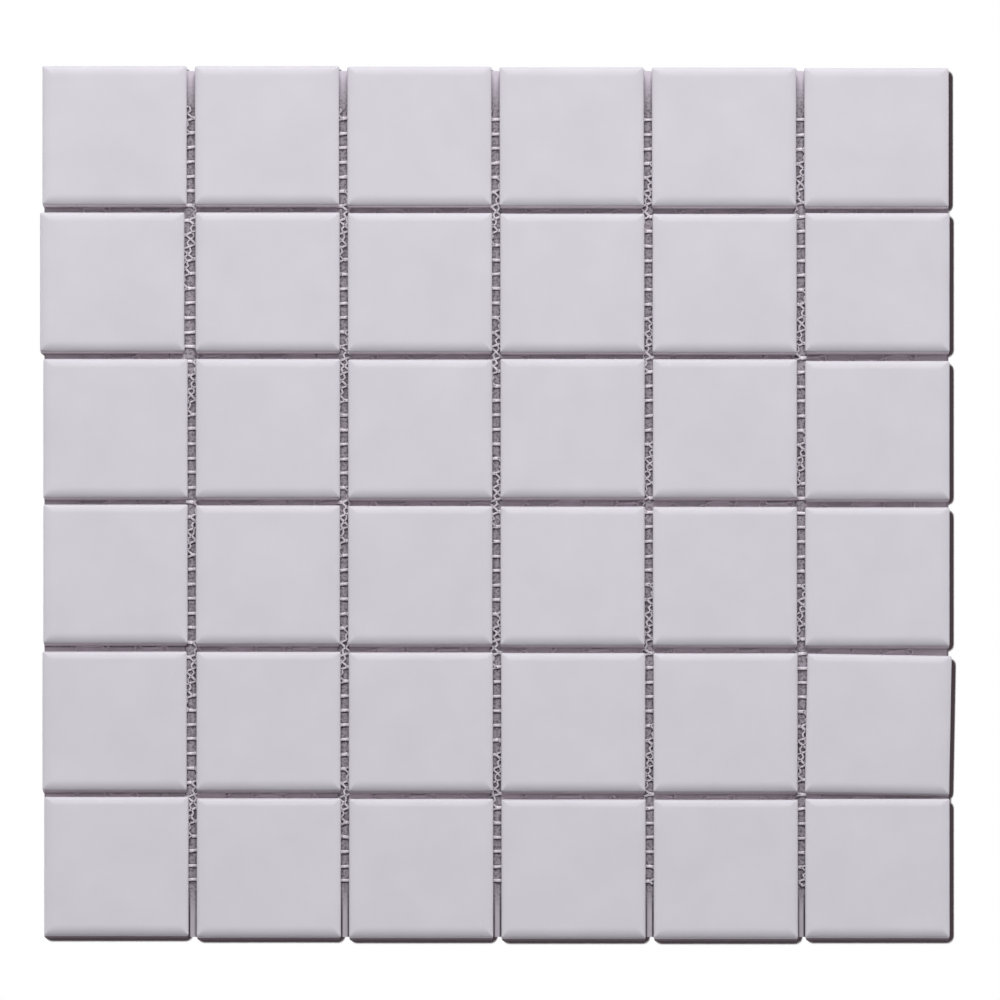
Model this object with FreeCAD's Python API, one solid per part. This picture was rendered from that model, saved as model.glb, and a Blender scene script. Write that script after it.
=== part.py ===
import FreeCAD, Part
import math
import os

# A sheet of small square glazed tiles, held in rows and columns by a thin net
# that is glued across their backs. Millimetres, +Z up, glaze up, the net at
# the bottom. The origin is the middle of the underside, and +Y points to row 1.

# Layout of the sheet
tile_rows = 6
tile_columns = 6
joint_width = 2.6

# One tile
tile_side = 48.4
tile_thickness = 6.0
corner_radius = 0.6
wall_draft = 0.3
crown_radius = 3.9
crown_width = 2.6

# Shallow keying recesses in the back of a tile, with ribs between them
recess_count = 4
recess_width = 7.5
recess_depth = 0.4
back_margin = 3.5

# Net across the backs: lengthwise yarns lie on the tiles, crosswise ones below.
# It is laid askew and pulled a little out of square
net_length = 270.0
net_width = 280.0
net_turn = -0.6
net_offset_y = 3.5
lengthwise_turn = -11.3
lengthwise_spacing = 9.8
lengthwise_width = 1.2
crosswise_turn = 87.0
crosswise_spacing = 5.2
crosswise_width = 0.8
yarn_thickness = 0.3

# Hand laying leaves the tiles a little out of true: how far each row sits to
# the right, how far each column sits up the sheet, and the odd tile by itself
# as row, column, shift to the right, shift up and turn in degrees
row_slips = [-0.3, -0.1, 0.0, 0.0, 0.2, 0.3]
column_slips = [0.4, 0.4, 0.2, 0.0, -0.1, -0.3]
odd_tiles = [
    (2, 1, -1.0, 0.0, 0.0),
    (2, 6, 0.1, 0.5, 0.0),
    (3, 4, 0.0, 0.4, 0.0),
    (3, 5, 0.0, 0.4, 0.0),
    (4, 1, 0.0, 0.3, 0.0),
    (5, 1, -0.5, 0.1, 0.0),
    (5, 6, 0.1, -0.3, -1.0),
    (6, 1, 0.0, 0.5, 0.0),
    (6, 6, -0.3, 0.5, 0.0),
]

tile_pitch = tile_side + joint_width
net_thickness = 2 * yarn_thickness
quarter_turn = 90.0
up = FreeCAD.Vector(0, 0, 1)
origin = FreeCAD.Vector(0, 0, 0)


def crown_point(reach, angle):
    """A point on the rounded edge of a side, from the flat face at 0 degrees outwards."""
    across = reach - crown_width + crown_radius * math.sin(math.radians(angle))
    height = tile_thickness - crown_radius + crown_radius * math.cos(math.radians(angle))
    return FreeCAD.Vector(across, 0, height)


def crowned_bar(reach, turn):
    """A bar with the tile's section: flat face, two rounded edges and two leaning walls.

    The edges lie at the reach on each side of the middle, and the bar is turned about it.
    """
    rim_angle = math.degrees(math.asin(crown_width / crown_radius))
    face_edge = crown_point(reach, 0)
    middle = crown_point(reach, rim_angle / 2)
    rim = crown_point(reach, rim_angle)
    foot = FreeCAD.Vector(reach - wall_draft, 0, 0)
    left = FreeCAD.Matrix(-1, 0, 0, 0, 0, 1, 0, 0, 0, 0, 1, 0, 0, 0, 0, 1)
    outline = Part.Wire([
        Part.LineSegment(left.multVec(face_edge), face_edge).toShape(),
        Part.Arc(face_edge, middle, rim).toShape(),
        Part.LineSegment(rim, foot).toShape(),
        Part.LineSegment(foot, left.multVec(foot)).toShape(),
        Part.LineSegment(left.multVec(foot), left.multVec(rim)).toShape(),
        Part.Arc(left.multVec(rim), left.multVec(middle), left.multVec(face_edge)).toShape(),
    ])
    bar = Part.Face(outline).extrude(FreeCAD.Vector(0, 2 * tile_side, 0))
    bar.translate(FreeCAD.Vector(0, -tile_side, 0))
    bar.rotate(origin, up, turn)
    return bar


def back_recesses():
    """The long shallow recesses that let the adhesive key into the back."""
    land = tile_side - 2 * wall_draft - 2 * back_margin
    step = (land - recess_width) / (recess_count - 1)
    recesses = []
    for index in range(recess_count):
        recess = Part.makeBox(land, recess_width, recess_depth)
        recess.translate(FreeCAD.Vector(-land / 2, index * step - land / 2, 0))
        recesses.append(recess)
    return Part.makeCompound(recesses)


def make_tile():
    """One tile standing on the net, centred on the origin.

    It is what four crowned bars share: two give the sides and two the blunted corners.
    """
    side_reach = tile_side / 2
    corner_reach = (side_reach - corner_radius) * math.sqrt(2) + corner_radius
    tile = crowned_bar(side_reach, 0)
    tile = tile.common(crowned_bar(side_reach, quarter_turn))
    tile = tile.common(crowned_bar(corner_reach, quarter_turn / 2))
    tile = tile.common(crowned_bar(corner_reach, -quarter_turn / 2))
    tile = tile.cut(back_recesses())
    tile.translate(FreeCAD.Vector(0, 0, net_thickness))
    return tile


def place_tile(tile, row, column):
    """A copy of the tile at its row and column, counted from 1 at the top left."""
    across = (column - (tile_columns + 1) / 2) * tile_pitch + row_slips[row - 1]
    along = ((tile_rows + 1) / 2 - row) * tile_pitch + column_slips[column - 1]
    turn = 0.0
    for odd_row, odd_column, shift_right, shift_up, odd_turn in odd_tiles:
        if (odd_row, odd_column) == (row, column):
            across += shift_right
            along += shift_up
            turn = odd_turn
    placed = tile.copy()
    placed.rotate(origin, up, turn)
    placed.translate(FreeCAD.Vector(across, along, 0))
    return placed


def net_sheet(height):
    """The net's trimmed outline, one yarn thick, with its underside at a height."""
    sheet = Part.makeBox(net_width, net_length, yarn_thickness)
    sheet.translate(FreeCAD.Vector(-net_width / 2, -net_length / 2, height))
    sheet.rotate(origin, up, net_turn)
    sheet.translate(FreeCAD.Vector(0, net_offset_y, 0))
    return sheet


def yarn_layer(spacing, width, turn, height):
    """Parallel flat yarns, turned against the tiles and cut off at the net's edge."""
    sheet = net_sheet(height)
    reach = math.hypot(net_width, net_length)
    half_count = int(reach / 2 / spacing)
    yarns = []
    for index in range(-half_count, half_count + 1):
        strip = Part.makeBox(width, reach, yarn_thickness)
        strip.translate(FreeCAD.Vector(index * spacing - width / 2, -reach / 2, height))
        strip.rotate(origin, up, turn)
        yarns.extend(strip.common(sheet).Solids)
    return Part.makeCompound(yarns)


def make_pieces():
    """Every piece of the sheet by name, set about the middle of its underside."""
    tile = make_tile()
    pieces = {}
    for row in range(1, tile_rows + 1):
        for column in range(1, tile_columns + 1):
            pieces[f"tile_row{row}_column{column}"] = place_tile(tile, row, column)
    pieces["net_lengthwise_yarns"] = yarn_layer(
        lengthwise_spacing, lengthwise_width, lengthwise_turn, yarn_thickness)
    pieces["net_crosswise_yarns"] = yarn_layer(
        crosswise_spacing, crosswise_width, crosswise_turn, 0)
    box = Part.makeCompound(list(pieces.values())).BoundBox
    to_origin = FreeCAD.Vector(-box.Center.x, -box.Center.y, 0)
    for piece in pieces.values():
        piece.translate(to_origin)
    return pieces


os.makedirs("parts", exist_ok=True)
for name, piece in make_pieces().items():
    piece.exportStep(f"parts/{name}.step")
    print(name, "volume", round(piece.Volume, 1), "solids", len(piece.Solids), piece.isValid())
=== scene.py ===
import math
import random

import bmesh
import bpy
from mathutils import Matrix, Vector, noise


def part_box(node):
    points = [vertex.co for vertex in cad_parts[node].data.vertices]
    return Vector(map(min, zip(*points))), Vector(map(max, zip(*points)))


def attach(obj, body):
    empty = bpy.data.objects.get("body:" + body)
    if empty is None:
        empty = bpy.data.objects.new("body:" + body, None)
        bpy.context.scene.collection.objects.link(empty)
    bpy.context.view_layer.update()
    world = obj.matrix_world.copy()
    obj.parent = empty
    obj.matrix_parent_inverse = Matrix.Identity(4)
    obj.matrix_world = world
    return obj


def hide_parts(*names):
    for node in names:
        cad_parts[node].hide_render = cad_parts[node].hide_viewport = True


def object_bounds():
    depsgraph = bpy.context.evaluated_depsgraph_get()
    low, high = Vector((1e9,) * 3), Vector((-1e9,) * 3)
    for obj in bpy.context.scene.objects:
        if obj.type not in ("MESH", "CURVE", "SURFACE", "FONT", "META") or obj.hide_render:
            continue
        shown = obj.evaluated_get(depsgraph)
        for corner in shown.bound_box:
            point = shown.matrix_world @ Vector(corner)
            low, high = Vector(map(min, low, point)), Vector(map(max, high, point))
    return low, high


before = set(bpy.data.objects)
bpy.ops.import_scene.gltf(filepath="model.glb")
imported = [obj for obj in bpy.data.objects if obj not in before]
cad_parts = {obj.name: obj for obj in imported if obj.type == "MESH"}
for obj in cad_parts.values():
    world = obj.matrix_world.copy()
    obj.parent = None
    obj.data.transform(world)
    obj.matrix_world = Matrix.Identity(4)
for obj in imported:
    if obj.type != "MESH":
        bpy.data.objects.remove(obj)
cad_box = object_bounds()

# A sheet of 36 glazed tiles on a fibre net, seen from above. Metres, glaze up.

mm = 0.001

# Tiles. A tile that lies turned is named with its turn in degrees
tile_rows = 6
tile_columns = 6
tile_pitch = 51 * mm
turned_tiles = {"tile_row5_column6": -1.0}
corner_radius = 0.55 * mm
corner_segments = 5
side_cuts = 7
wall_lean = 0.3 * mm
rim_round = 0.8 * mm
rim_steps = 3
crown_width = 3.8 * mm
crown_drop = 1.0 * mm
crown_power = 3.0
crown_steps = 12
dome_height = 0.1 * mm
dome_steps = 6
glaze_line = 3.9 * mm
recess_count = 4
recess_width = 7.5 * mm
recess_depth = 0.4 * mm
recess_slope = 0.25 * mm
back_margin = 3.5 * mm
waver_size = 18 * mm
waver_height = 0.03 * mm
waver_step = Vector((0.37, 0.61, 0))
sharp_edge = math.radians(35)

# Net: its yarns run askew to the tiles. Each lengthwise yarn is a wide strand that
# zigzags between the cross yarns on its left and those on its right, which lie half
# a step apart, and a narrow strand that crosses it. A cross yarn rises a little on
# its way to the next lengthwise yarn
net_turn = math.radians(-11.3)
trim_turn = math.radians(-0.6)
net_length = 270 * mm
net_width = 280 * mm
net_centre = Vector((0.19 * mm, 3.35 * mm, 0))
net_height = 0.30 * mm
pressed_height = 0.25 * mm
yarn_spacing = 9.8 * mm
knot_spacing = 5.2 * mm
wander_reach = 1.2 * mm
wander_length = 45 * mm
wander_step = 3.1

# Strands of the lengthwise yarns: they sway a little and are thickest at the knots
wide_swing = 2.1 * mm
wide_radius = 0.52 * mm
narrow_swing = -0.9 * mm
narrow_radius = 0.42 * mm
strand_points = 8
strand_roundness = 1
fewest_points = 4
sway_reach = 0.3 * mm
sway_rise = 0.08 * mm
sway_length = 1.5 * mm
sway_step = 5.3
strand_girth = 0.85
sway_girth = 0.3
knot_girth = 0.3
knot_sharpness = 6

# Cross yarns: each ends inside the wide strands that it joins, is bent and tilted a
# little by chance and is thickest at its ends
cross_rise = 1.4 * mm
cross_reach = 0.9
cross_radius = 0.55 * mm
cross_points = 5
cross_roundness = 2
cross_bend = 0.25 * mm
cross_tilt = 0.2 * mm
cross_end_girth = 0.25
cross_uneven_girth = 0.08
cross_draws = 7

# Finish of the tiles. A pattern's scale is about how often it repeats in a metre
glaze_clouds = {"scale": 60, "detail": 3}
glaze_stops = [
    (0.3, (0.595, 0.566, 0.620, 1)),
    (0.7, (0.622, 0.594, 0.650, 1)),
]
glaze_roughness = 0.2
glaze_ior = 1.5
glaze_ripples = {"scale": 220, "detail": 2}
ripple_height = 0.2 * mm
ripple_strength = 0.12
body_grain = {"scale": 900, "detail": 4}
# Painted light and shade on the bare walls: darker at the foot, towards the near end and on the
# front wall, and lighter towards the far end. The grain also runs between the foot and wall tones
body_grain_and_foot_shade = (0.60, 0.55, 0.59, 1)
body_far_light = (1.0, 0.93, 0.99, 1)
body_near_shade = (0.55, 0.505, 0.54, 1)
body_front_shade = (0.30, 0.26, 0.28, 1)
body_roughness = 0.9
foot_shade_height = 1 * mm
height_shade_share = 0.7
front_shade_reach = 2.5 * mm
grain_height = 0.05 * mm
grain_strength = 0.3

# Finish of the net. In the joints between rows it takes the floor's painted tone of light and shade
# there
strand_dark = (0.56, 0.52, 0.57, 1)
strand_light = (0.78, 0.73, 0.79, 1)
cross_dark = (0.72, 0.67, 0.73, 1)
cross_light = (0.95, 0.89, 0.96, 1)
threads = {"scale": 4000, "detail": 3, "stretch": (1, 0.12, 1)}
thread_places = (0.3, 0.6)
thread_height = 0.04 * mm
thread_strength = 0.5
fibre_roughness = 0.7

# Floor in the joints: painted shade beside the tiles, deeper towards the near end, and painted shade
# of the net under it
# Painted light and shade in the joints between rows: darker at the far end, lighter at the near end
row_joint_far_shade = (0.45, 0.40, 0.455, 1)
row_joint_near_light = (1.0, 0.91, 1.0, 1)
joint_reach = 1.7 * mm
joint_fade = 0.6 * mm
joint_shade_reach = 1.2 * mm
joint_shade_lean = 0.8
joint_shade_far = 0.4
joint_shade_near = 7.0
# Floor beyond the net: painted shade beside the tiles, pale in the middle
bare_stops = [
    (0.1, (0.080, 0.064, 0.075, 1)),
    (0.85, (0.50, 0.46, 0.52, 1)),
    (1.0, (0.60, 0.555, 0.62, 1)),
]
net_fade = 10 * mm
# Floor under the net: darker as painted shade of the net, and painted shade beside the tiles
netted_shade_stops = [
    (0.1, (0.070, 0.056, 0.064, 1)),
    (0.75, (0.25, 0.225, 0.255, 1)),
    (1.0, (0.40, 0.36, 0.41, 1)),
]
mottle = {"scale": 1100, "detail": 2}
mottle_places = (0.35, 0.65)
mottle_shares = (-0.4, 0.3)
floor_roughness = 0.9
floor_shine = 0.1
no_shine = 0.0

# White around the sheet, with a painted shadow of the tiles on it close to their edges
floor_reach = 4.0
white_fade = 0.2 * mm
shade_left = -1.6 * mm
shade_right = -1.2 * mm
shade_front = -2.1 * mm
shade_back = -0.4 * mm
shade_reach = 2.5 * mm
shade_across = -1
shade_up = 0.6
shade_samples = 48
white = (1, 1, 1, 1)
shade_stops = [
    (0.79, (0.060, 0.045, 0.052, 1)),
    (0.85, white),
]

# Light and camera
key_place = (0, 1.5, 2.1)
key_size = (1.4, 1.1)
key_power = 63
window_place = (0, 2.6, 1.1)
window_size = (2.6, 0.8)
window_power = 8
surround_level = 0.10
side_glow = 2.7
side_glow_sharpness = 4
camera_elevation = math.radians(74)
camera_distance = 2.0
picture_width = 334.76 * mm
picture_centre_x = 1.39 * mm
picture_centre_up = 2.13 * mm
quarter_turn = math.radians(90)


def new_object(name, mesh_or_curve):
    """Puts new data in the scene as an object at the origin."""
    piece = bpy.data.objects.new(name, mesh_or_curve)
    bpy.context.collection.objects.link(piece)
    return piece


def shader_nodes(name):
    """A material with its nodes, links and main shader."""
    material = bpy.data.materials.new(name)
    material.use_nodes = True
    nodes = material.node_tree.nodes
    return material, nodes, material.node_tree.links, nodes["Principled BSDF"]


def noise_pattern(nodes, links, scale, detail, stretch=(1, 1, 1), turn=0.0):
    """Noise on the object's own coordinates, turned about Z and stretched."""
    place = nodes.new("ShaderNodeTexCoord")
    mapping = nodes.new("ShaderNodeMapping")
    mapping.inputs["Rotation"].default_value = (0, 0, turn)
    mapping.inputs["Scale"].default_value = stretch
    pattern = nodes.new("ShaderNodeTexNoise")
    pattern.inputs["Scale"].default_value = scale
    pattern.inputs["Detail"].default_value = detail
    links.new(place.outputs["Object"], mapping.inputs["Vector"])
    links.new(mapping.outputs["Vector"], pattern.inputs["Vector"])
    return pattern.outputs["Fac"]


def calc(nodes, links, operation, *values):
    """The result of a Math node fed by sockets or plain numbers."""
    step = nodes.new("ShaderNodeMath")
    step.operation = operation
    for socket, value in zip(step.inputs, values):
        if isinstance(value, bpy.types.NodeSocket):
            links.new(value, socket)
        else:
            socket.default_value = value
    return step.outputs["Value"]


def fade(nodes, links, value, start, end, first=0.0, last=1.0):
    """A value that goes from first to last while another goes from start to end."""
    band = nodes.new("ShaderNodeMapRange")
    band.inputs["From Min"].default_value = start
    band.inputs["From Max"].default_value = end
    band.inputs["To Min"].default_value = first
    band.inputs["To Max"].default_value = last
    links.new(value, band.inputs["Value"])
    return band.outputs["Result"]


def blend_colours(nodes, links, share, first, second):
    """The first colour where the share is 0 and the second where it is 1."""
    blend = nodes.new("ShaderNodeMix")
    blend.data_type = "RGBA"
    links.new(share, blend.inputs["Factor"])
    for socket, colour in ((blend.inputs["A"], first), (blend.inputs["B"], second)):
        if isinstance(colour, bpy.types.NodeSocket):
            links.new(colour, socket)
        else:
            socket.default_value = colour
    return blend.outputs["Result"]


def object_axes(nodes, links):
    """The X, Y and Z of the object's own coordinates."""
    place = nodes.new("ShaderNodeTexCoord")
    split = nodes.new("ShaderNodeSeparateXYZ")
    links.new(place.outputs["Object"], split.inputs["Vector"])
    return split.outputs


def in_row_joint(nodes, links):
    """1 in the joints between two rows of tiles, and 0 in the other joints and under tiles."""
    axes = object_axes(nodes, links)
    clear = []
    for axis in ("X", "Y"):
        apart = calc(nodes, links, "PINGPONG", axes[axis], tile_pitch / 2)
        clear.append(fade(nodes, links, apart, joint_reach, joint_reach + joint_fade))
    return calc(nodes, links, "MAXIMUM", calc(nodes, links, "SUBTRACT", *clear), 0)


def ramp(nodes, links, value, stops):
    """A colour ramp of (place, colour) stops fed by a value."""
    band = nodes.new("ShaderNodeValToRGB")
    band.color_ramp.elements[0].position = stops[0][0]
    band.color_ramp.elements[0].color = stops[0][1]
    band.color_ramp.elements[1].position = stops[-1][0]
    band.color_ramp.elements[1].color = stops[-1][1]
    for place, colour in stops[1:-1]:
        band.color_ramp.elements.new(place).color = colour
    links.new(value, band.inputs["Fac"])
    return band.outputs["Color"]


def add_relief(nodes, links, shader, pattern, strength, height):
    """Fine relief in a surface, as high as the pattern makes it."""
    relief = nodes.new("ShaderNodeBump")
    relief.inputs["Strength"].default_value = strength
    relief.inputs["Distance"].default_value = height
    links.new(pattern, relief.inputs["Height"])
    links.new(relief.outputs["Normal"], shader.inputs["Normal"])


def from_far_end(nodes, links):
    """0 at the far end of the sheet and 1 at the near end."""
    half = tile_rows * tile_pitch / 2
    return fade(nodes, links, object_axes(nodes, links)["Y"], half, -half)


def row_joint_painted_tone(nodes, links):
    """The one tone of floor and fibre in the joints between rows: painted light and shade, darker at
    the far end and lighter at the near end.
    """
    nearness = from_far_end(nodes, links)
    return blend_colours(nodes, links, nearness, row_joint_far_shade, row_joint_near_light)


def bare_porcelain():
    """The unglazed body of the walls and the back: matt and grainy, with painted shade low down,
    towards the near end and on the front wall, and painted light towards the far end.
    """
    material, nodes, links, shader = shader_nodes("bare_porcelain")
    grain = noise_pattern(nodes, links, **body_grain)
    axes = object_axes(nodes, links)
    # Painted shade low down on the walls, mixed with the grain
    height = fade(
        nodes, links, axes["Z"], foot_shade_height, glaze_line, -height_shade_share, height_shade_share)
    lightness = calc(nodes, links, "ADD", grain, height)
    # Painted light towards the far end, painted shade towards the near end
    light = blend_colours(nodes, links, from_far_end(nodes, links), body_far_light, body_near_shade)
    body = blend_colours(nodes, links, lightness, body_grain_and_foot_shade, light)
    # Painted shade on the walls of the front row
    front = -tile_rows * tile_pitch / 2 + front_shade_reach
    inner = fade(nodes, links, axes["Y"], front, front + joint_fade)
    shaded = blend_colours(nodes, links, inner, body_front_shade, body)
    links.new(shaded, shader.inputs["Base Color"])
    add_relief(nodes, links, shader, grain, grain_strength, grain_height)
    shader.inputs["Roughness"].default_value = body_roughness
    shader.inputs["Specular IOR Level"].default_value = no_shine
    return material


def glazed_porcelain():
    """Pale lavender-grey glaze with the faint unevenness of a fired surface."""
    material, nodes, links, shader = shader_nodes("glazed_porcelain")
    clouds = noise_pattern(nodes, links, **glaze_clouds)
    links.new(ramp(nodes, links, clouds, glaze_stops), shader.inputs["Base Color"])
    ripples = noise_pattern(nodes, links, **glaze_ripples)
    add_relief(nodes, links, shader, ripples, ripple_strength, ripple_height)
    shader.inputs["Roughness"].default_value = glaze_roughness
    shader.inputs["IOR"].default_value = glaze_ior
    return material


def net_fibre(name, turn, dark, light):
    """Off-white fibre yarn, with fine threads running along it and painted shade in the joints
    between rows.
    """
    material, nodes, links, shader = shader_nodes(name)
    pattern = noise_pattern(nodes, links, turn=turn, **threads)
    colour = ramp(nodes, links, pattern, list(zip(thread_places, (dark, light))))
    # Painted shade: in the joints between rows the fibre takes the floor's painted tone
    joint_shade_tone = row_joint_painted_tone(nodes, links)
    shaded = blend_colours(nodes, links, in_row_joint(nodes, links), colour, joint_shade_tone)
    links.new(shaded, shader.inputs["Base Color"])
    add_relief(nodes, links, shader, pattern, thread_strength, thread_height)
    shader.inputs["Roughness"].default_value = fibre_roughness
    return material


def tile_back(mesh, side):
    """The back of a tile, a square with rounded corners. Gives the faces of its recesses."""
    bmesh.ops.create_grid(mesh, x_segments=1, y_segments=1, size=side)
    bmesh.ops.bevel(
        mesh, geom=mesh.verts[:], offset=corner_radius, offset_type="OFFSET", affect="VERTICES",
        segments=corner_segments, profile=0.5, material=-1)
    long_sides = [edge for edge in mesh.edges if edge.calc_length() > side]
    bmesh.ops.subdivide_edges(mesh, edges=long_sides, cuts=side_cuts)
    land = side - back_margin
    step = (2 * land - recess_width) / (recess_count - 1)
    cuts = [(Vector((1, 0, 0)), -land), (Vector((1, 0, 0)), land)]
    for index in range(recess_count):
        start = index * step - land
        cuts.append((Vector((0, 1, 0)), start))
        cuts.append((Vector((0, 1, 0)), start + recess_width))
    for normal, place in cuts:
        bmesh.ops.bisect_plane(
            mesh, geom=mesh.verts[:] + mesh.edges[:] + mesh.faces[:],
            plane_co=normal * place, plane_no=normal)
    recesses = []
    for face in mesh.faces:
        middle = face.calc_center_median()
        across = (middle.y + land) % step
        if abs(middle.x) < land and across < recess_width and abs(middle.y) < land:
            recesses.append(face)
    return recesses


def tile_rings(half, height):
    """Scale and height of each outline from the foot of the wall to the middle of the face."""
    foot = half - wall_lean
    rim_slope = math.atan(crown_power * crown_drop / crown_width)
    face_height = height - dome_height
    crown_reach = half - rim_round * (1 - math.sin(rim_slope))
    rim_height = face_height - crown_drop - rim_round * math.cos(rim_slope)
    glaze_reach = foot + wall_lean * glaze_line / rim_height
    rings = [(glaze_reach / foot, glaze_line), (half / foot, rim_height)]
    for step in range(1, rim_steps + 1):
        angle = (math.pi / 2 - rim_slope) * step / rim_steps
        reach = half - rim_round * (1 - math.cos(angle))
        rings.append((reach / foot, rim_height + rim_round * math.sin(angle)))
    for step in range(1, crown_steps + 1):
        left = 1 - step / crown_steps
        reach = crown_reach - crown_width * (1 - left)
        rings.append((reach / foot, face_height - crown_drop * left ** crown_power))
    face_scale = rings[-1][0]
    for step in range(1, dome_steps + 1):
        left = 1 - step / (dome_steps + 1)
        rings.append((face_scale * left, height - dome_height * left ** 2))
    return rings


def waver(mesh, seed):
    """The slight unevenness of a fired and glazed tile."""
    offset = seed * waver_step
    for vertex in mesh.verts:
        if vertex.co.z > recess_depth:
            drop = 1 + noise.noise(vertex.co / waver_size + offset)
            vertex.co.z -= waver_height * drop
            shrink = 1 + noise.noise(vertex.co / waver_size - offset)
            vertex.co.xy -= vertex.co.xy.normalized() * waver_height * shrink


def make_tile(name, glaze, body, seed):
    """One tile in the place of its CAD node."""
    low, high = (Vector(corner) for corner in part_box(name))
    centre = (low + high) / 2
    turn = math.radians(turned_tiles.get(name, 0))
    spread = math.cos(turn) + math.sin(abs(turn))
    half = (high.x - low.x) / 2 / spread
    height = high.z - low.z
    mesh = bmesh.new()
    recesses = tile_back(mesh, half - wall_lean)
    ring_edges = [edge for edge in mesh.edges if edge.is_boundary]
    bmesh.ops.inset_individual(
        mesh, faces=recesses, thickness=recess_slope, depth=-recess_depth, use_even_offset=True)
    last_scale, last_height = 1.0, 0.0
    for scale, ring_height in tile_rings(half, height):
        grown = bmesh.ops.extrude_edge_only(mesh, edges=ring_edges)
        ring_edges = [item for item in grown["geom"] if isinstance(item, bmesh.types.BMEdge)]
        verts = [item for item in grown["geom"] if isinstance(item, bmesh.types.BMVert)]
        factor = scale / last_scale
        bmesh.ops.scale(mesh, vec=(factor, factor, 1), verts=verts)
        bmesh.ops.translate(mesh, vec=(0, 0, ring_height - last_height), verts=verts)
        last_scale, last_height = scale, ring_height
    bmesh.ops.edgeloop_fill(mesh, edges=ring_edges)
    bmesh.ops.recalc_face_normals(mesh, faces=mesh.faces)
    for face in mesh.faces:
        face.smooth = True
        if face.calc_center_median().z < glaze_line:
            face.material_index = 1
    waver(mesh, seed)
    for edge in mesh.edges:
        edge.smooth = edge.calc_face_angle(0) < sharp_edge
    place = Matrix.Translation((centre.x, centre.y, low.z)) @ Matrix.Rotation(turn, 4, "Z")
    bmesh.ops.transform(mesh, matrix=place, verts=mesh.verts)
    data = bpy.data.meshes.new(name + "_glazed")
    mesh.to_mesh(data)
    mesh.free()
    data.materials.append(glaze)
    data.materials.append(body)
    tile = new_object(name + "_glazed", data)
    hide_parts(name)
    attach(tile, "root")


def inside_net(point):
    """Whether a point of the sheet lies inside the net's trimmed outline."""
    local = Matrix.Rotation(-trim_turn, 3, "Z") @ (point - net_centre)
    return abs(local.x) < net_width / 2 and abs(local.y) < net_length / 2


def column_start(column):
    """How far the cross yarns of a column between two lengthwise yarns are shifted."""
    return (column * (cross_rise + knot_spacing / 2)) % knot_spacing


def yarn_middle(yarn, along):
    """Where the middle of a lengthwise yarn lies across the net at one place along it."""
    wander = noise.noise(Vector((yarn * wander_step, along / wander_length, 0)))
    return yarn * yarn_spacing + wander * wander_reach


def swing(yarn, along):
    """How far a lengthwise yarn swings from its middle at one place along it, from -1 to 1."""
    turns = (along - column_start(yarn)) / knot_spacing
    return 4 * abs(turns - math.floor(turns) - 0.5) - 1


def on_sheet(across, along):
    """A point given across and along the net, in the sheet's own place."""
    return Matrix.Rotation(net_turn, 3, "Z") @ Vector((across, along, 0)) + net_centre


def add_yarn(curve, points, radii):
    """A yarn through the points, as one open run of the curve."""
    spline = curve.splines.new("POLY")
    spline.points.add(len(points) - 1)
    for target, point, radius in zip(spline.points, points, radii):
        target.co = (point.x, point.y, point.z, 1)
        target.radius = radius


def yarn_curve(name, radius, roundness):
    """A curve whose runs are yarns of one thickness."""
    curve = bpy.data.curves.new(name, "CURVE")
    curve.dimensions = "3D"
    curve.bevel_depth = radius
    curve.bevel_resolution = roundness
    curve.use_fill_caps = True
    return curve


def finish_yarns(name, curve, node, material):
    """Turns the yarns into a mesh that lies where the node does, pressed flat under the tiles."""
    source = new_object(name + "_curve", curve)
    data = bpy.data.meshes.new_from_object(source)
    data.name = name
    bpy.data.objects.remove(source)
    for vertex in data.vertices:
        rise = vertex.co.z - net_height
        vertex.co.z = net_height + max(-pressed_height, min(rise, pressed_height))
    data.polygons.foreach_set("use_smooth", [True] * len(data.polygons))
    data.materials.clear()
    data.materials.append(material)
    yarns = new_object(name, data)
    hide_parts(node)
    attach(yarns, "root")


def make_strands(name, swing_reach, radius, material):
    """One strand of each lengthwise yarn, which zigzags from end to end of the net."""
    curve = yarn_curve("strands", radius, strand_roundness)
    reach = math.hypot(net_width, net_length) / 2
    yarn_count = int(reach / yarn_spacing)
    point_step = knot_spacing / strand_points
    point_count = int(reach / point_step)
    for yarn in range(-yarn_count, yarn_count + 1):
        points = []
        radii = []
        for index in range(-point_count, point_count + 1):
            along = index * point_step
            sway = noise.noise(Vector((yarn * sway_step, along / sway_length, swing_reach / mm)))
            out = swing(yarn, along)
            across = yarn_middle(yarn, along) + swing_reach * out + sway_reach * sway
            point = on_sheet(across, along)
            if inside_net(point):
                point.z = net_height + sway_rise * sway
                points.append(point)
                knot = knot_girth * abs(out) ** knot_sharpness
                radii.append(strand_girth + sway_girth * sway + knot)
        if len(points) >= fewest_points:
            add_yarn(curve, points, radii)
    finish_yarns(name, curve, "net_lengthwise_yarns", material)


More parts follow.
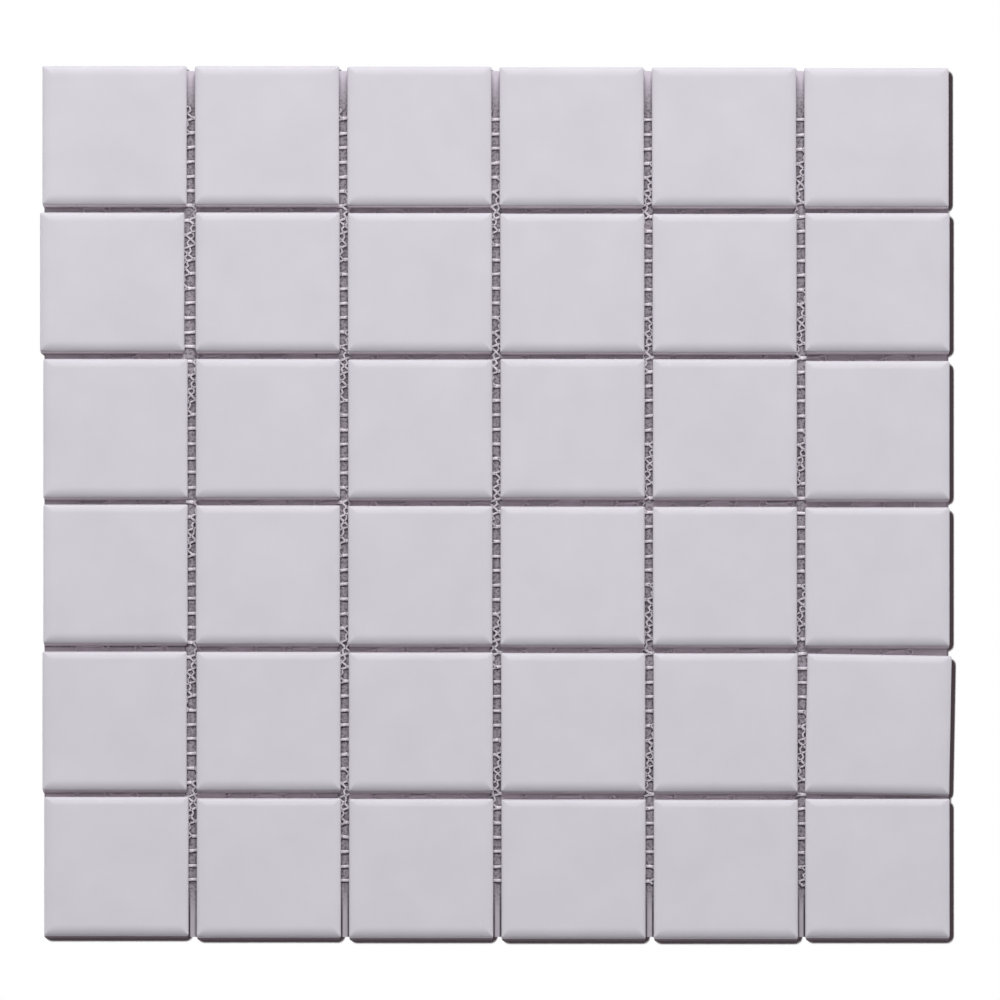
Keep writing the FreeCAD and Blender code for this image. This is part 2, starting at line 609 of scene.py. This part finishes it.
def make_cross_yarns(material):
    """The short yarns that cross from one lengthwise yarn to the next."""
    curve = yarn_curve("crosswise", cross_radius, cross_roundness)
    reach = math.hypot(net_width, net_length) / 2
    yarn_count = int(reach / yarn_spacing)
    cross_count = int(reach / knot_spacing)
    draws = random.Random(cross_draws)
    for column in range(-yarn_count, yarn_count):
        for index in range(-cross_count, cross_count + 1):
            along = index * knot_spacing + column_start(column)
            start = yarn_middle(column, along) + cross_reach * wide_swing
            end = yarn_middle(column + 1, along + cross_rise) - cross_reach * wide_swing
            bend = draws.uniform(-cross_bend, cross_bend)
            tilt = draws.uniform(-cross_tilt, cross_tilt)
            points = []
            radii = []
            for step in range(cross_points):
                done = step / (cross_points - 1)
                bow = math.sin(math.pi * done)
                along_here = along + cross_rise * done + bend * bow + tilt * (done - 0.5)
                point = on_sheet(start + (end - start) * done, along_here)
                point.z = net_height
                points.append(point)
                uneven = draws.uniform(-cross_uneven_girth, cross_uneven_girth)
                radii.append(1 + cross_end_girth * (1 - bow) + uneven)
            if inside_net(points[0]) and inside_net(points[-1]):
                add_yarn(curve, points, radii)
    finish_yarns("net_cross_yarns", curve, "net_crosswise_yarns", material)


def seen_or_mirrored(nodes, links):
    """1 for what the camera sees straight, mirrored or through glass, and 0 for soft light."""
    rays = nodes.new("ShaderNodeLightPath")
    mirrored = calc(
        nodes, links, "MAXIMUM", rays.outputs["Is Glossy Ray"], rays.outputs["Is Transmission Ray"])
    return calc(nodes, links, "MAXIMUM", rays.outputs["Is Camera Ray"], mirrored)


def open_share(nodes, links, reach, across, up):
    """How open the surface is within reach, from 0 to 1, seen in a direction across and up."""
    share = nodes.new("ShaderNodeAmbientOcclusion")
    share.samples = shade_samples
    share.inputs["Distance"].default_value = reach
    direction = nodes.new("ShaderNodeCombineXYZ")
    direction.inputs["Z"].default_value = up
    links.new(calc(nodes, links, "ADD", across, 0), direction.inputs["X"])
    unit = nodes.new("ShaderNodeVectorMath")
    unit.operation = "NORMALIZE"
    links.new(direction.outputs["Vector"], unit.inputs["Vector"])
    links.new(unit.outputs["Vector"], share.inputs["Normal"])
    return share.outputs["AO"]


def floor_colour(nodes, links):
    """The floor in the joints: painted shade beside the tiles, deeper towards the near end, painted
    shade of the net and random mottling under the net, and a painted tone of light and shade between
    rows.
    """
    axes = object_axes(nodes, links)
    half = tile_columns * tile_pitch / 2
    outwards = fade(nodes, links, axes["X"], -half, half, -joint_shade_lean, joint_shade_lean)
    # Painted shade where the tiles' walls close the floor in, deeper towards the near end
    near_walls = open_share(nodes, links, joint_shade_reach, outwards, 1)
    depth = fade(nodes, links, from_far_end(nodes, links), 0, 1, joint_shade_far, joint_shade_near)
    shade = calc(nodes, links, "MULTIPLY", calc(nodes, links, "SUBTRACT", 1, near_walls), depth)
    bare = ramp(nodes, links, calc(nodes, links, "SUBTRACT", 1, shade), bare_stops)
    pattern = noise_pattern(nodes, links, **mottle)
    spots = fade(nodes, links, pattern, *mottle_places, *mottle_shares)
    # Painted shade of the net on the floor under it, mottled at random
    netted = ramp(nodes, links, calc(nodes, links, "ADD", near_walls, spots), netted_shade_stops)
    centred = calc(nodes, links, "SUBTRACT", axes["Y"], net_centre.y)
    from_middle = calc(nodes, links, "ABSOLUTE", centred)
    past_net = fade(nodes, links, from_middle, net_length / 2, net_length / 2 + net_fade)
    along_columns = blend_colours(nodes, links, past_net, netted, bare)
    # Painted light and shade in the joints between rows
    across_rows = row_joint_painted_tone(nodes, links)
    return blend_colours(nodes, links, in_row_joint(nodes, links), along_columns, across_rows)


def outside_sheet(nodes, links, low, high):
    """0 on the floor under the sheet and close to it, and 1 away from it."""
    axes = object_axes(nodes, links)
    outside = 0
    for axis, start, end in (
            ("X", low.x - shade_left, high.x + shade_right),
            ("Y", low.y - shade_front, high.y + shade_back)):
        reach = (end - start) / 2
        centred = calc(nodes, links, "SUBTRACT", axes[axis], (start + end) / 2)
        from_middle = calc(nodes, links, "ABSOLUTE", centred)
        beyond = fade(nodes, links, from_middle, reach, reach + white_fade)
        outside = calc(nodes, links, "MAXIMUM", beyond, outside)
    return outside


def make_floor(low, high):
    """A pale floor, white to the camera away from the sheet apart from a painted shadow of the tiles
    close to them.
    """
    mesh = bmesh.new()
    bmesh.ops.create_grid(mesh, x_segments=1, y_segments=1, size=floor_reach)
    data = bpy.data.meshes.new("floor")
    mesh.to_mesh(data)
    mesh.free()
    floor = new_object("floor", data)
    material, nodes, links, shader = shader_nodes("pale_floor")
    links.new(floor_colour(nodes, links), shader.inputs["Base Color"])
    shader.inputs["Roughness"].default_value = floor_roughness
    shader.inputs["Specular IOR Level"].default_value = floor_shine
    outside = outside_sheet(nodes, links, low, high)
    share = calc(nodes, links, "MULTIPLY", seen_or_mirrored(nodes, links), outside)
    # Painted shadow: the white glow turns dark where the tiles close the floor in
    opened = open_share(nodes, links, shade_reach, shade_across, shade_up)
    white_glow = nodes.new("ShaderNodeEmission")
    links.new(ramp(nodes, links, opened, shade_stops), white_glow.inputs["Color"])
    blend = nodes.new("ShaderNodeMixShader")
    links.new(share, blend.inputs["Fac"])
    links.new(shader.outputs["BSDF"], blend.inputs[1])
    links.new(white_glow.outputs["Emission"], blend.inputs[2])
    links.new(blend.outputs["Shader"], nodes["Material Output"].inputs["Surface"])
    data.materials.append(material)


def area_light(name, place, size, power):
    """A soft rectangular lamp that faces the middle of the sheet."""
    lamp = bpy.data.lights.new(name, "AREA")
    lamp.shape = "RECTANGLE"
    lamp.size, lamp.size_y = size
    lamp.energy = power
    light = bpy.data.objects.new(name, lamp)
    bpy.context.collection.objects.link(light)
    light.location = place
    light.rotation_euler = (-Vector(place)).to_track_quat("-Z", "Y").to_euler()
    return light


def make_lights():
    """A soft lamp above the far edge, a low window behind it, side glow and a white backdrop."""
    key = area_light("key_lamp", key_place, key_size, key_power)
    key.visible_glossy = False
    area_light("window", window_place, window_size, window_power)
    world = bpy.data.worlds.new("studio")
    world.use_nodes = True
    bpy.context.scene.world = world
    nodes = world.node_tree.nodes
    links = world.node_tree.links
    surround = nodes["Background"]
    surround.inputs["Color"].default_value = white
    place = nodes.new("ShaderNodeTexCoord")
    split = nodes.new("ShaderNodeSeparateXYZ")
    links.new(place.outputs["Generated"], split.inputs["Vector"])
    square = calc(nodes, links, "MULTIPLY", split.outputs["X"], split.outputs["X"])
    narrow = calc(nodes, links, "POWER", square, side_glow_sharpness)
    glow = calc(nodes, links, "MULTIPLY_ADD", narrow, side_glow, surround_level)
    links.new(glow, surround.inputs["Strength"])
    backdrop = nodes.new("ShaderNodeBackground")
    backdrop.inputs["Color"].default_value = white
    seen = seen_or_mirrored(nodes, links)
    blend = nodes.new("ShaderNodeMixShader")
    links.new(seen, blend.inputs["Fac"])
    links.new(surround.outputs["Background"], blend.inputs[1])
    links.new(backdrop.outputs["Background"], blend.inputs[2])
    links.new(blend.outputs["Shader"], nodes["World Output"].inputs["Surface"])


def make_camera():
    """A camera without perspective that looks down on the sheet from its near side."""
    lens = bpy.data.cameras.new("camera")
    lens.type = "ORTHO"
    lens.ortho_scale = picture_width
    camera = bpy.data.objects.new("camera", lens)
    bpy.context.collection.objects.link(camera)
    back = Vector((0, -math.cos(camera_elevation), math.sin(camera_elevation)))
    up = Vector((0, math.sin(camera_elevation), math.cos(camera_elevation)))
    aim = Vector((picture_centre_x, 0, 0)) + up * picture_centre_up
    camera.location = aim + back * camera_distance
    camera.rotation_euler = (quarter_turn - camera_elevation, 0, 0)
    bpy.context.scene.camera = camera


glaze = glazed_porcelain()
body = bare_porcelain()
for row in range(1, tile_rows + 1):
    for column in range(1, tile_columns + 1):
        make_tile(f"tile_row{row}_column{column}", glaze, body, row * tile_columns + column)
strand_fibre = net_fibre("net_fibre", -net_turn, strand_dark, strand_light)
cross_fibre = net_fibre("net_cross_fibre", quarter_turn - net_turn, cross_dark, cross_light)
make_strands("net_wide_strands", wide_swing, wide_radius, strand_fibre)
make_strands("net_narrow_strands", narrow_swing, narrow_radius, strand_fibre)
make_cross_yarns(cross_fibre)

make_floor(*cad_box)
make_lights()
make_camera()
bpy.context.scene.view_settings.view_transform = "Standard"
